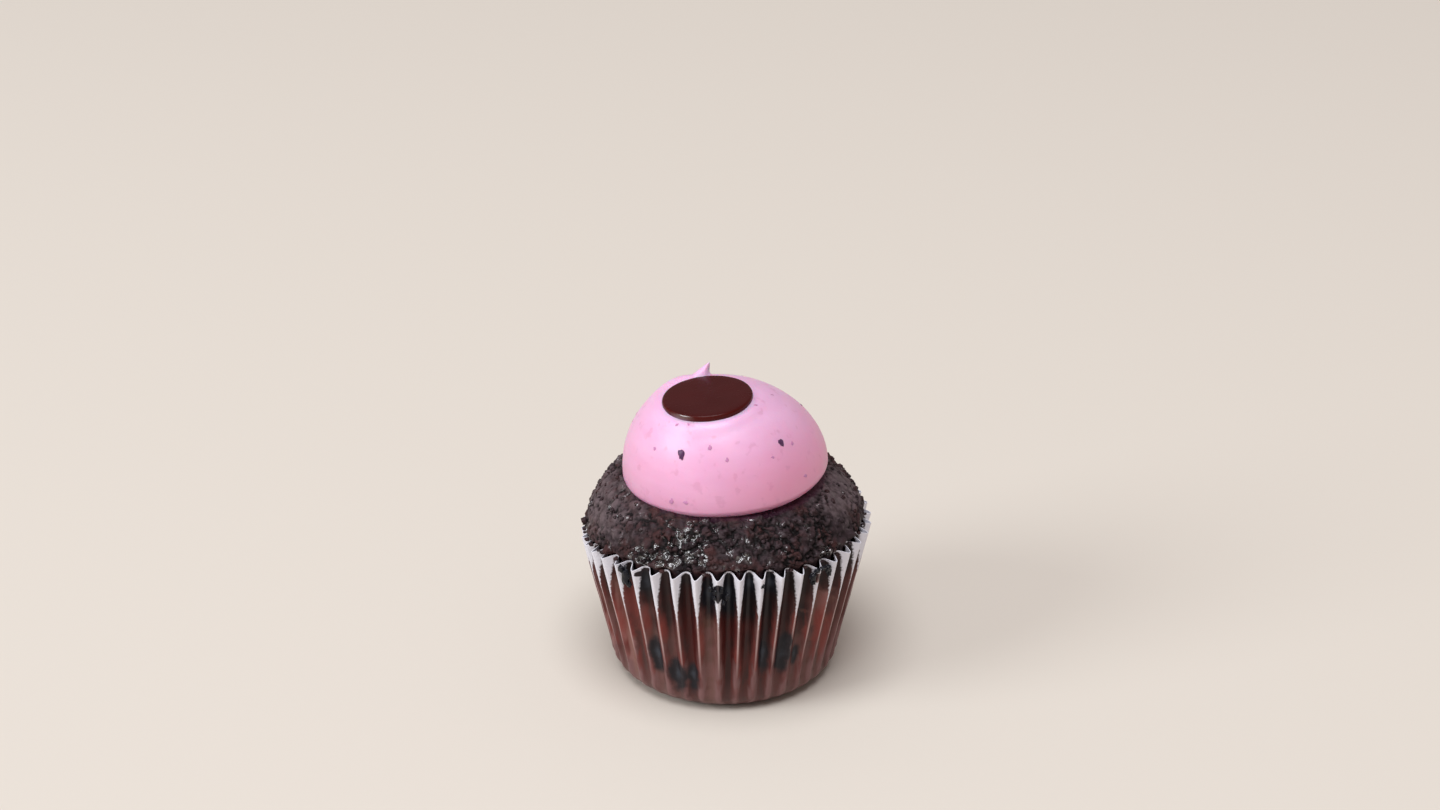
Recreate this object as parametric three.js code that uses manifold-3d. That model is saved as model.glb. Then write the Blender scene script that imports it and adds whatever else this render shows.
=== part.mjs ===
// A chocolate cupcake in its pleated paper case, topped with a dome of pink
// buttercream and a chocolate disc. Millimetres, +Z up. The origin is the middle
// of the flat base, and -Y is the side that is looked at.

import * as THREE from 'three';
import { mergeVertices } from 'three/addons/utils/BufferGeometryUtils.js';
import { ImprovedNoise } from 'three/addons/math/ImprovedNoise.js';
import Module from 'manifold-3d';

const wasm = await Module();
wasm.setup();
const noise = new ImprovedNoise();

// Paper case. Its crests are the outermost folds, which lie on one cone.
const BASE_RADIUS = 25.4; // where the cone of the crests would meet the table
const FLARE = 0.226; // growth of that radius for each mm of height
const FLAT_RADIUS = 19.4; // the flat round bottom
const HEEL_HEIGHT = 6; // where the rounded heel becomes the straight side
const RIM_HEIGHT = 39.2; // crest tips at the front and the back
const RIM_DROP = 3.2; // the rim is lower at the sides, and lowest on the left
const RIM_DROP_LEAN = 1.7;
const FLUTE_RISE = 0.4; // the inward folds end a little higher than the crests
const RIM_WAVE = 0.25;
const PAPER = 0.5;
const PLEATS = 42;
const STEPS_PER_PLEAT = 5;
const CREST_SHARPNESS = 1.6; // over 1 makes the crests narrow and the flutes broad
const HEEL_PLEAT_DEPTH = 0.65;
const RIM_PLEAT_DEPTH = 3.0;
const PLEAT_UNEVENNESS = 0.1; // share by which their depth changes round the case
const FIRST_CREST = -3.3 / 360; // share of a turn, just left of the front
const PLEAT_DRIFT = 0.8 / 360; // how far the others wander from an even spacing

// Cake, which fills the flutes and domes over the rim
const GAP = 0.35; // clearance between pieces that touch
const DOME_RADIUS = 32.1;
const DOME_BASE = 39.35; // height of the dome's widest ring
const DOME_RISE = 12.2;
const DOME_POWER = 2.25; // over 2 gives it full shoulders
const CREST_FILL_AT_RIM = 0.25; // how far the crumb reaches into the crests
const LIP_RISE = 0.45; // how far over the paper the cake starts to spread
const OVERHANG_RISE = 1.35; // and where it is at its widest
const DOME_ROWS = 7;
const COVERED_RADIUS = 12; // a ring that only shapes the hidden top of the dome
const CRAG_DEPTH = 0.75;
const CRAG_SIZE = 3.4;
const FINE_CRAG_SIZE = 1.5;

// Frosting, a rounded dome that leans to the left and forwards
const FROSTING_CENTRE = new THREE.Vector3(0.13, 0, 50.82); // at its widest
const FROSTING_RADIUS = 23.46;
const FROSTING_RISE = 22.2;
const FROSTING_TUCK = 5.9; // how deep it curls under before it meets the cake
const FROSTING_POWER = 1.89; // 2 would be an ellipse, and 1 a cone
const FROSTING_ROLL = -0.075; // radians about Y, so that the left side is lower
const FROSTING_LEAN = new THREE.Vector2(-3.14, -4);
const FROSTING_STEPS = 72;
const FROSTING_ROWS = 15;
const HOLLOW_RING = 0.55; // a ring under the frosting, as a share of its edge's radius

// Chocolate disc, pressed into the top of the frosting
const DISC_TOP = new THREE.Vector3(-3.9, -4.8, 70.3);
const DISC_RADIUS = 10.25;
const DISC_THICKNESS = 1.75;
const DISC_EDGE = 0.7; // radius of its rounded edges
const DISC_ROLL = -5; // degrees about Y
const DISC_TILT = 1.2; // degrees about X, towards the front
const DISC_STEPS = 48;
const SEAT_LIP = 0.5; // the frosting behind it stands this far over the disc
const SEAT_SOFTNESS = 0.8; // how gently the frosting bends to that level
const SEAT_DEPTH = 0.35; // how deep the disc's underside is bedded at the front
const SEAT_RIM = 0.8; // and how far the bedding goes beyond its edge
const SEAT_REACH = 3.5;
const ROOM_ABOVE = 8;

// Tail left by the piping tube behind the disc, with the ridge that it ends
const TAIL_BASE = new THREE.Vector3(-5.4, 6.6, 69.6);
const TAIL_RADIUS = 1.7;
const TAIL_HEIGHT = 3.8;
const TAIL_BEND = 2.1; // the tip leans to the right by this much
const TAIL_STEPS = 12;
const TAIL_ROWS = 6;
const TAIL_TIP_RADIUS = 0.12;
const RIDGE_CENTRE = new THREE.Vector2(-10, 6.2);
const RIDGE_SIZE = new THREE.Vector2(6, 2.8);
const RIDGE_HEIGHT = 1.0;

// Flecks of dark fruit skin in the frosting. Two large ones are at the front, each
// at a share of a turn and a level of the dome, and the rest are spread by a rule.
const LARGE_FLECKS = [{ share: -0.068, level: 0.56 }, { share: 0.129, level: 0.527 }];
const LARGE_FLECK_RADIUS = 0.62;
const SMALL_FLECKS = 14;
const SMALL_FLECK_RADIUS = 0.42;
const LOWEST_FLECK = 0.08;
const FLECK_SPREAD = 0.6;
const FLECK_SEED = 11;

const COLOURS = {
  paper: 0x8a5a55,
  cake: 0x35292c,
  frosting: 0xf0b8dc,
  chocolate: 0x4c2625,
};

// Merges the shared corners and drops the slivers that close up at an axis.
function weld(geometry) {
  geometry.deleteAttribute('normal');
  geometry.deleteAttribute('uv');
  const merged = mergeVertices(geometry, 1e-5);
  const index = merged.index.array;
  const kept = [];
  for (let i = 0; i < index.length; i += 3) {
    const [a, b, c] = [index[i], index[i + 1], index[i + 2]];
    if (a !== b && b !== c && c !== a) {
      kept.push(a, b, c);
    }
  }
  merged.setIndex(kept);
  return merged;
}

// A turned solid whose rows run from the axis out and back to the axis. It starts
// as a plain lathe form, and each corner then goes to where place(share of a turn,
// row) says, so that a row can wander in radius and height on its way round.
function turn(rows, steps, place) {
  const profile = [];
  for (let row = 0; row < rows; row += 1) {
    const onAxis = row === 0 || row === rows - 1;
    profile.push(new THREE.Vector2(onAxis ? 0 : 1, row));
  }
  const geometry = new THREE.LatheGeometry(profile, steps);
  geometry.rotateX(Math.PI / 2);
  const corners = geometry.attributes.position;
  for (let i = 0; i < corners.count; i += 1) {
    const step = Math.floor(i / rows) % steps;
    const corner = place(step / steps, i % rows);
    corners.setXYZ(i, corner.x, corner.y, corner.z);
  }
  return weld(geometry);
}

// The same from a plain profile of [radius, height] rows
function turnProfile(profile, steps) {
  return turn(profile.length, steps, (share, row) => around(share, ...profile[row]));
}

// A number of waves round one turn, from -1 to 1
function waves(share, count, start = 0) {
  return Math.sin(2 * Math.PI * count * share + start);
}

// A point at a share of a turn, which starts at the front and goes by the right
function around(share, radius, height) {
  const angle = 2 * Math.PI * share;
  return new THREE.Vector3(radius * Math.sin(angle), -radius * Math.cos(angle), height);
}

// Where a place on evenly spaced pleats really is, as their spacing drifts a little
function drift(share) {
  return share + FIRST_CREST + PLEAT_DRIFT * waves(share, 3, 2.1);
}

// 1 on a crest and 0 in the bottom of a flute
function crest(share) {
  return (0.5 + 0.5 * Math.cos(2 * Math.PI * PLEATS * share)) ** CREST_SHARPNESS;
}

function pleatDepth(share, height) {
  if (height < HEEL_HEIGHT) {
    return HEEL_PLEAT_DEPTH * height / HEEL_HEIGHT;
  }
  const rise = (height - HEEL_HEIGHT) / (RIM_HEIGHT - HEEL_HEIGHT);
  const rimDepth = RIM_PLEAT_DEPTH * (1 + PLEAT_UNEVENNESS * waves(share, 5, 0.6));
  return THREE.MathUtils.lerp(HEEL_PLEAT_DEPTH, rimDepth, rise);
}

function coneRadius(height) {
  return BASE_RADIUS + FLARE * height;
}

// Radius of the pleated side. A fill of 1 follows the crests all the way out, and
// a fill of 0 stays round at the bottom of the flutes.
function pleatedRadius(share, height, fill) {
  return coneRadius(height) - pleatDepth(share, height) * (1 - crest(share) * fill);
}

function rimHeight(share) {
  const side = waves(share, 1);
  const drop = (RIM_DROP - RIM_DROP_LEAN * side) * side ** 2;
  return RIM_HEIGHT - drop + RIM_WAVE * waves(share, 6, 0.5) + FLUTE_RISE * (1 - crest(share));
}

// The three lower rows of the case or the cake, from the axis to halfway round the
// heel, which is a quarter ellipse. The inset is how far inside the paper's outer
// surface they lie.
function footCorner(share, row, inset) {
  if (row === 0) {
    return around(0, 0, inset);
  }
  if (row === 1) {
    return around(drift(share), FLAT_RADIUS - GAP, inset);
  }
  const reach = coneRadius(HEEL_HEIGHT) - FLAT_RADIUS;
  const height = HEEL_HEIGHT * (1 - Math.SQRT1_2) + inset * Math.SQRT1_2;
  const radius = FLAT_RADIUS + (reach - inset) * Math.SQRT1_2;
  const depth = pleatDepth(share, height) * (1 - crest(share));
  return around(drift(share), radius - depth, height);
}

function paperCase() {
  const rowsUp = 5; // axis, flat edge, heel, side and rim
  return turn(2 * rowsUp, PLEATS * STEPS_PER_PLEAT, (share, row) => {
    const inside = row >= rowsUp;
    const inset = inside ? PAPER : 0;
    const level = inside ? 2 * rowsUp - 1 - row : row;
    if (level < 3) {
      return footCorner(share, level, inset);
    }
    const height = level === 3 ? HEEL_HEIGHT : rimHeight(share);
    return around(drift(share), pleatedRadius(share, height, 1) - inset, height);
  });
}

function domeHeight(radius) {
  const share = Math.min(1, radius / DOME_RADIUS);
  return DOME_BASE + DOME_RISE * (1 - share ** DOME_POWER) ** (1 / DOME_POWER);
}

function noiseAt(point, size) {
  return noise.noise(point.x / size, point.y / size, point.z / size);
}

// The crumb's pits and lumps, which fade out where the frosting lies on it
function crag(point) {
  const radius = Math.hypot(point.x, point.y);
  const open = THREE.MathUtils.smoothstep(radius, FROSTING_RADIUS - 1, FROSTING_RADIUS + 2);
  return CRAG_DEPTH * open * (noiseAt(point, CRAG_SIZE) + 0.6 * noiseAt(point, FINE_CRAG_SIZE));
}

// A corner of the crumb inside the case. It fills the crests low down and leaves
// them more and more empty towards the rim.
function crumbInCase(share, height) {
  const rise = (height - HEEL_HEIGHT) / (rimHeight(share) - HEEL_HEIGHT);
  const fill = THREE.MathUtils.lerp(1, CREST_FILL_AT_RIM, Math.min(1, rise));
  return around(drift(share), pleatedRadius(share, height, fill) - PAPER - GAP, height);
}

// A corner of the open dome, from 0 at its overhang to 1 under the frosting's edge.
// It sets out from the rim, which isn't level, and runs into the true dome.
function crumbOnDome(share, climb) {
  const radius = THREE.MathUtils.lerp(DOME_RADIUS, FROSTING_RADIUS - 0.6, climb ** 1.6);
  const fromRim = rimHeight(share) + OVERHANG_RISE + 5 * climb;
  const height = THREE.MathUtils.lerp(domeHeight(radius), fromRim, (1 - climb) ** 2);
  const point = around(drift(share), radius, height);
  const outward = around(drift(share), 1 - climb, 0.4 + climb).normalize();
  const grown = THREE.MathUtils.smoothstep(climb, 0, 0.3);
  return point.addScaledVector(outward, crag(point) * grown);
}

function cake() {
  const firstOfSide = 3;
  const firstOfDome = 7;
  const rows = firstOfDome + DOME_ROWS + 2;
  return turn(rows, PLEATS * STEPS_PER_PLEAT, (share, row) => {
    if (row < firstOfSide) {
      return footCorner(share, row, PAPER + GAP);
    }
    if (row < firstOfDome) {
      const rim = rimHeight(share);
      const levels = [HEEL_HEIGHT, 0.55 * RIM_HEIGHT, rim - 2.2, rim + LIP_RISE];
      return crumbInCase(share, levels[row - firstOfSide]);
    }
    if (row < rows - 2) {
      return crumbOnDome(share, (row - firstOfDome) / (DOME_ROWS - 1));
    }
    const radius = row === rows - 2 ? COVERED_RADIUS : 0;
    return around(share, radius, domeHeight(radius));
  });
}

const discTurn = new THREE.Quaternion().setFromEuler(new THREE.Euler(
  THREE.MathUtils.degToRad(DISC_TILT), THREE.MathUtils.degToRad(DISC_ROLL), 0));

// Bends the frosting to the disc that was pressed into it: it is flattened to the
// level of the disc's top, and brought up to the disc's underside all round.
function seated(point) {
  const local = point.clone().sub(DISC_TOP).applyQuaternion(discTurn.clone().invert());
  const away = Math.hypot(local.x, local.y) - DISC_RADIUS;
  const near = 1 - THREE.MathUtils.smoothstep(away, SEAT_RIM, SEAT_REACH);
  const bed = SEAT_DEPTH - DISC_THICKNESS;
  local.z = 0.5 * (local.z + SEAT_LIP - Math.hypot(local.z - SEAT_LIP, SEAT_SOFTNESS));
  if (local.z < bed) {
    local.z = THREE.MathUtils.lerp(local.z, bed, near);
  }
  return local.applyQuaternion(discTurn).add(DISC_TOP);
}

// The frosting's outside. Its level is 1 at the top, 0 at its widest and below
// that where it curls in under itself.
function frostingPoint(share, level) {
  const above = Math.max(0, level);
  const domed = (1 - above ** FROSTING_POWER) ** (1 / FROSTING_POWER);
  const tucked = Math.sqrt(1 - Math.min(0, level) ** 2);
  const height = (level > 0 ? FROSTING_RISE : FROSTING_TUCK) * level;
  const point = around(share, FROSTING_RADIUS * domed * tucked, height);
  point.x += FROSTING_LEAN.x * above ** 2;
  point.y += FROSTING_LEAN.y * above ** 2;
  point.applyAxisAngle(new THREE.Vector3(0, 1, 0), FROSTING_ROLL).add(FROSTING_CENTRE);
  const alongRidge = (point.x - RIDGE_CENTRE.x) / RIDGE_SIZE.x;
  const acrossRidge = (point.y - RIDGE_CENTRE.y) / RIDGE_SIZE.y;
  const ridge = RIDGE_HEIGHT * above * Math.exp(-(alongRidge ** 2) - acrossRidge ** 2);
  return seated(point).add(new THREE.Vector3(0, 0, ridge));
}

// The lowest level of the frosting's outside at one place round it, found by
// halving: there it is one gap above the cake.
function contactLevel(share) {
  let low = -1;
  let high = 0.2;
  for (let i = 0; i < 24; i += 1) {
    const level = (low + high) / 2;
    const point = frostingPoint(share, level);
    if (point.z > domeHeight(Math.hypot(point.x, point.y)) + GAP) {
      high = level;
    } else {
      low = level;
    }
  }
  return high;
}

function frostingDome() {
  const firstOutside = 2;
  const rows = firstOutside + FROSTING_ROWS + 1;
  return turn(rows, FROSTING_STEPS, (share, row) => {
    const lowest = contactLevel(share);
    if (row < firstOutside) {
      const under = frostingPoint(share, lowest).multiplyScalar(row * HOLLOW_RING);
      return under.setZ(domeHeight(Math.hypot(under.x, under.y)) + GAP);
    }
    if (row === rows - 1) {
      return frostingPoint(0, 1);
    }
    const climb = Math.sin((row - firstOutside) / FROSTING_ROWS * Math.PI / 2);
    return frostingPoint(share, THREE.MathUtils.lerp(lowest, 1, climb));
  });
}

// A soft cone that curls over to the right, as buttercream does when it is drawn off
function tail() {
  return turn(TAIL_ROWS, TAIL_STEPS, (share, row) => {
    const onAxis = row === 0 || row === TAIL_ROWS - 1;
    const climb = Math.max(0, row - 1) / (TAIL_ROWS - 2);
    const radius = onAxis ? 0 : TAIL_RADIUS * (1 - climb) ** 1.15 + TAIL_TIP_RADIUS;
    const point = around(share, radius, TAIL_HEIGHT * climb);
    point.x += TAIL_BEND * climb ** 1.8;
    return point.add(TAIL_BASE);
  });
}

// The disc with its top in the plane of its own frame, and its edges rounded
function discGeometry() {
  const inner = DISC_RADIUS - DISC_EDGE;
  const profile = [[0, -DISC_THICKNESS], [inner, -DISC_THICKNESS]];
  for (const eighths of [1, 2, 3, 5, 6, 7]) {
    const angle = eighths * Math.PI / 8;
    const middle = eighths < 4 ? DISC_EDGE - DISC_THICKNESS : -DISC_EDGE;
    profile.push([inner + DISC_EDGE * Math.sin(angle), middle - DISC_EDGE * Math.cos(angle)]);
  }
  profile.push([inner, 0], [0, 0]);
  return turnProfile(profile, DISC_STEPS);
}

// What the disc presses out of the frosting: its own width, and all above it
function seatGeometry() {
  const wide = DISC_RADIUS + GAP;
  const deep = -DISC_THICKNESS - GAP;
  const profile = [[0, deep], [wide, deep], [wide, ROOM_ABOVE], [0, ROOM_ABOVE]];
  const geometry = turnProfile(profile, DISC_STEPS).applyQuaternion(discTurn);
  return geometry.translate(DISC_TOP.x, DISC_TOP.y, DISC_TOP.z);
}

// A small stone-shaped bit of fruit skin, half sunk in the frosting
function fleck(share, level, radius) {
  const spot = frostingPoint(share, level);
  return weld(new THREE.IcosahedronGeometry(radius, 0).translate(spot.x, spot.y, spot.z));
}

function flecks() {
  const random = seededRandom(FLECK_SEED);
  const made = LARGE_FLECKS.map(({ share, level }) => fleck(share, level, LARGE_FLECK_RADIUS));
  for (let i = 0; i < SMALL_FLECKS; i += 1) {
    const share = (i + 0.8 * random()) / SMALL_FLECKS;
    const level = LOWEST_FLECK + FLECK_SPREAD * random();
    made.push(fleck(share, level, SMALL_FLECK_RADIUS * (0.75 + 0.5 * random())));
  }
  return made;
}

function solid(geometry) {
  return new wasm.Manifold(new wasm.Mesh({
    numProp: 3,
    vertProperties: new Float32Array(geometry.attributes.position.array),
    triVerts: new Uint32Array(geometry.index.array),
  }));
}

function geometryOf(manifold) {
  const mesh = manifold.getMesh();
  const geometry = new THREE.BufferGeometry();
  geometry.setAttribute('position', new THREE.BufferAttribute(mesh.vertProperties, 3));
  geometry.setIndex(new THREE.BufferAttribute(mesh.triVerts, 1));
  return geometry;
}

// Even random numbers from 0 to 1 that are the same on every run
function seededRandom(seed) {
  let state = seed;
  return () => {
    state = (state * 48271) % 2147483647;
    return state / 2147483647;
  };
}

function frosting() {
  let joined = solid(frostingDome()).add(solid(tail()));
  for (const geometry of flecks()) {
    joined = joined.add(solid(geometry));
  }
  return geometryOf(joined.subtract(solid(seatGeometry())));
}

function piece(name, geometry, colour, roughness) {
  const material = new THREE.MeshStandardMaterial({ color: colour, roughness, metalness: 0 });
  const mesh = new THREE.Mesh(geometry, material);
  mesh.name = name;
  return mesh;
}

const cupcake = new THREE.Group();
cupcake.name = 'cupcake';
cupcake.add(piece('paper_case', paperCase(), COLOURS.paper, 0.55));
cupcake.add(piece('cake', cake(), COLOURS.cake, 0.6));
cupcake.add(piece('frosting', frosting(), COLOURS.frosting, 0.5));

const disc = piece('chocolate_disc', discGeometry(), COLOURS.chocolate, 0.35);
disc.position.copy(DISC_TOP);
disc.quaternion.copy(discTurn);
cupcake.add(disc);

export default cupcake;
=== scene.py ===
# %% [markdown]
# A chocolate cupcake, dressed from the inside out as a baker would meet it: a pleated paper case,
# a dark crumb that has risen over the rim, a smooth dome of pink buttercream and a disc of dark
# chocolate. The plain solids of the same cupcake are loaded first. They fix where everything sits
# and how large it may be.

import math
import random

import bmesh
import bpy
from mathutils import Matrix, Vector, noise


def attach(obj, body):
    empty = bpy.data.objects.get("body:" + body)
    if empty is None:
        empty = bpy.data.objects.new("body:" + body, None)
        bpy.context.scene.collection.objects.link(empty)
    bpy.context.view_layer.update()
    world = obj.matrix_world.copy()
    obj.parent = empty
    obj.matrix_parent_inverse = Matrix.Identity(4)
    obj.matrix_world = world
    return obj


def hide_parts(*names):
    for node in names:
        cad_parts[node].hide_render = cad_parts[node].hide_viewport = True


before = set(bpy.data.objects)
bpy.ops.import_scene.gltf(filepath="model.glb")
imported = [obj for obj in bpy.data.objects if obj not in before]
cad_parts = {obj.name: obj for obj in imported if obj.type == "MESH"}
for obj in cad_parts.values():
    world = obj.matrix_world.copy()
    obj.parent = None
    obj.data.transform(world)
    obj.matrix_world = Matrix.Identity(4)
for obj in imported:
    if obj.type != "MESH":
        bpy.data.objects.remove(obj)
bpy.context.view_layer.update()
print("solids:", ", ".join(sorted(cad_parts)))

# %% [markdown]
# Blender works in metres, and a cupcake is measured in millimetres, so every size below is in
# millimetres and is multiplied by MM where it reaches Blender. The turned pieces all use the same
# way of naming a place: a share of one turn, which starts at the front and goes round by the
# right, with a radius and a height.

# %% Measures and small sums
MM = 0.001


def blend(low, high, amount):
    return low + (high - low) * amount


def soft_step(value, low, high):
    """0 below low and 1 above high, with a soft start and end."""
    amount = min(1, max(0, (value - low) / (high - low)))
    return amount * amount * (3 - 2 * amount)


def waves(share, count, start=0):
    """A number of waves round one turn, from -1 to 1."""
    return math.sin(2 * math.pi * count * share + start)


def around(share, radius, height):
    angle = 2 * math.pi * share
    return Vector((radius * math.sin(angle), -radius * math.cos(angle), height))


def share_of(point):
    """The share of a turn at which a point lies, from 0 to 1."""
    return math.atan2(point.x, -point.y) / (2 * math.pi) % 1


# %% [markdown]
# An operator acts on all that is selected, so each piece starts with nothing selected. Its
# corners and faces are then picked in code, by their place, as a modeller would box-select them.

# %% Helpers for modelling
def start_fresh():
    if bpy.context.mode != "OBJECT":
        bpy.ops.object.mode_set(mode="OBJECT")
    bpy.ops.object.select_all(action="DESELECT")


def pick(kind, test):
    """Selects the verts, edges or faces of the piece in edit mode that pass the test."""
    bpy.ops.mesh.select_mode(type={"verts": "VERT", "edges": "EDGE", "faces": "FACE"}[kind])
    bpy.ops.mesh.select_all(action="DESELECT")
    shape = bmesh.from_edit_mesh(bpy.context.object.data)
    for element in getattr(shape, kind):
        if test(element):
            element.select_set(True)
    shape.select_flush_mode()
    bmesh.update_edit_mesh(bpy.context.object.data)


def take_up(piece):
    """Selects this piece alone, for the operators that follow."""
    start_fresh()
    piece.select_set(True)
    bpy.context.view_layer.objects.active = piece


def raise_rings(name, sides, radius, rings):
    """A tube of rings, 1 mm apart, that is extruded ring by ring from a filled circle."""
    start_fresh()
    bpy.ops.mesh.primitive_circle_add(vertices=sides, radius=radius * MM, fill_type="TRIFAN")
    piece = bpy.context.object
    piece.name = name
    bpy.ops.object.mode_set(mode="EDIT")
    pick("edges", lambda edge: edge.is_boundary)
    for _ in range(rings):
        bpy.ops.mesh.extrude_region_move(TRANSFORM_OT_translate={"value": (0, 0, MM)})
    return piece


def face_outwards():
    """Turns every face of the piece in edit mode outwards, and goes back to object mode."""
    bpy.ops.mesh.select_all(action="SELECT")
    bpy.ops.mesh.normals_make_consistent(inside=False)
    bpy.ops.object.mode_set(mode="OBJECT")


def is_middle(corner):
    """True for the one corner in the middle of the filled circle, in millimetres."""
    return corner.xy.length < 1


def knead(piece, new_place):
    """Moves every corner to where new_place(corner) says, both in millimetres."""
    for corner in piece.data.vertices:
        corner.co = new_place(corner.co / MM) * MM


def paint(piece, name, values):
    """Keeps one number for each corner, for the piece's material to read."""
    layer = piece.data.attributes.new(name, "FLOAT", "POINT")
    layer.data.foreach_set("value", values)


def finish_with(piece, kind, **settings):
    """Adds a modifier with its settings, and applies it."""
    take_up(piece)
    modifier = piece.modifiers.new(kind.title(), kind)
    for key, value in settings.items():
        setattr(modifier, key, value)
    bpy.ops.object.modifier_apply(modifier=modifier.name)


def smooth(piece, degrees=180):
    take_up(piece)
    bpy.ops.object.shade_smooth_by_angle(angle=math.radians(degrees))


def hand_over(piece, finish, slot, *nodes):
    """Gives a piece its material, and rides it on the cupcake in place of the solids it stands for."""
    piece.data.materials.append(finish)
    piece.data.calc_loop_triangles()
    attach(piece, "root")
    if nodes:
        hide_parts(*nodes)
    print(f"{piece.name}: {len(piece.data.loop_triangles)} triangles")


# %% [markdown]
# A material is a tree of nodes. One small function adds a node with its settings, and links or
# sets its inputs. Colours are written as the eye names them, in sRGB hex, and one function turns
# them to the linear light that the renderer adds up. A pattern's scale is one over its real size.
# A stained or baked surface is then painted as a painter would do it, coat after coat. Each coat
# lies where a mask lets it, and a mask is pushed up and down by a noise, so that its edge is ragged.
# Places on a piece are in metres here, because that is how the renderer gives them.

# %% Helpers for materials
def linear(colour):
    """An sRGB hex colour, such as "#f0b4dc", as linear red, green, blue and alpha."""
    parts = [int(colour[i:i + 2], 16) / 255 for i in (1, 3, 5)]
    return [p / 12.92 if p <= 0.04045 else ((p + 0.055) / 1.055) ** 2.4 for p in parts] + [1]


def per(size):
    """The scale of a pattern whose features are this many millimetres apart."""
    return 1 / (size * MM)


def new_material(name):
    material = bpy.data.materials.new(name)
    material.use_nodes = True
    material.node_tree.nodes.clear()
    return material


def add(material, kind, inputs=None, **settings):
    """Adds a node. Each input is set to a value or a hex colour, or linked to a node or socket."""
    tree = material.node_tree
    node = tree.nodes.new("ShaderNode" + kind)
    for key, value in settings.items():
        setattr(node, key, value)
    for key, value in (inputs or {}).items():
        if isinstance(value, str):
            value = linear(value)
        if isinstance(value, bpy.types.Node):
            value = value.outputs[0]
        if isinstance(value, bpy.types.NodeSocket):
            tree.links.new(value, node.inputs[key])
        else:
            node.inputs[key].default_value = value
    return node


def lay_coats(material, colour, *coats):
    """Lays coats over a colour, each by its mask, where it begins, where it is full, how strong
    it is there, and its own colour."""
    for mask, begin, full, strength, coat in coats:
        cover = add(material, "MapRange", {
            "Value": mask, "From Min": begin, "From Max": full, "To Max": strength})
        colour = add(material, "MixRGB", {"Fac": cover, "Color1": colour, "Color2": coat})
    return colour


def push(material, mask, *pushes):
    """Pushes a mask up and down by other values, each with its low and its high and what it adds
    to the mask at both."""
    for value, low, high, at_low, at_high in pushes:
        amount = add(material, "MapRange", {
            "Value": value, "From Min": low, "From Max": high, "To Min": at_low, "To Max": at_high})
        mask = add(material, "Math", {0: mask, 1: amount}, operation="ADD")
    return mask


# %% [markdown]
# The paper case is a sheet of greaseproof paper that a die has pressed into pleats. Its crests are
# the outermost folds, and they lie on one cone. They could be drawn as one pleat and repeated,
# but no two pleats of a real case are alike. A circle is therefore extruded ring by ring, as a
# potter raises a wall, and each corner is then pressed in by the depth of its pleat.

# %% Pleats
PLEATS = 42
FIRST_CREST = -3.3 / 360
PLEAT_DRIFT = 0.8 / 360
CREST_SHARPNESS = 1.3
BASE_RADIUS = 25.4
FLARE = 0.226
FLAT_RADIUS = 19.4
HEEL_HEIGHT = 6
HEEL_PLEAT_DEPTH = 0.65
RIM_PLEAT_DEPTH = 3.0
RIM_PLEAT_CHANGE = 0.1
RIM_HEIGHT = 39.2
RIM_DROP = 3.2
RIM_DROP_TO_LEFT = 1.7
RIM_WAVE = 0.25
RIM_SCALLOP = 0.4


def drift(share):
    """Where a place on evenly spaced pleats really is, as their spacing drifts a little."""
    return share + FIRST_CREST + PLEAT_DRIFT * waves(share, 3, 2.1)


def crest(share):
    """1 on a crest and 0 in the bottom of a flute."""
    return (0.5 + 0.5 * math.cos(2 * math.pi * PLEATS * share)) ** CREST_SHARPNESS


def cone_radius(height):
    return BASE_RADIUS + FLARE * height


def pleat_depth(share, height):
    if height < HEEL_HEIGHT:
        return HEEL_PLEAT_DEPTH * height / HEEL_HEIGHT
    rise = (height - HEEL_HEIGHT) / (RIM_HEIGHT - HEEL_HEIGHT)
    depth_at_rim = RIM_PLEAT_DEPTH * (1 + RIM_PLEAT_CHANGE * waves(share, 5, 0.6))
    return blend(HEEL_PLEAT_DEPTH, depth_at_rim, rise)


def pleated_radius(share, height, fill):
    """A fill of 1 follows the crests out, and a fill of 0 stays at the bottom of the flutes."""
    return cone_radius(height) - pleat_depth(share, height) * (1 - crest(share) * fill)


def rim_height(share):
    """The rim drops towards both sides, and most on the left."""
    side = waves(share, 1)
    drop = (RIM_DROP - RIM_DROP_TO_LEFT * side) * side ** 2
    return RIM_HEIGHT - drop + RIM_WAVE * waves(share, 6, 0.5) + RIM_SCALLOP * (1 - crest(share))


pleat_width = 2 * math.pi * cone_radius(RIM_HEIGHT) / PLEATS
print(f"pleats: {PLEATS}, {pleat_width:.1f} mm apart at the rim")

# %% [markdown]
# Greaseproof paper is thin and crisp, and slightly cockled where the cake's steam has wetted it.
# The wall is drawn as a single skin first, and gets its thickness when all that the material needs
# has been noted on it. It is a little thicker than real paper, so that its cut edge shows. While a
# corner still knows its share of a turn and its ring, both are remembered, because every stain is
# placed by them.

# %% Raise and pleat the paper case
CASE_STEPS = 20
HEEL_RINGS = 8
SIDE_RINGS = 46
PAPER_THICKNESS = 0.16
COCKLE = 0.16
COCKLE_SIZE = 5
ARCH_RISE = 0.35


def paper_top(share):
    """The cut edge of the paper, which arches up over each flute."""
    return rim_height(share) + ARCH_RISE * (1 - crest(share))


def case_height(share, ring):
    if ring <= HEEL_RINGS:
        return HEEL_HEIGHT * (1 - math.cos(ring / HEEL_RINGS * math.pi / 2))
    return blend(HEEL_HEIGHT, paper_top(share), (ring - HEEL_RINGS) / SIDE_RINGS)


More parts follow.
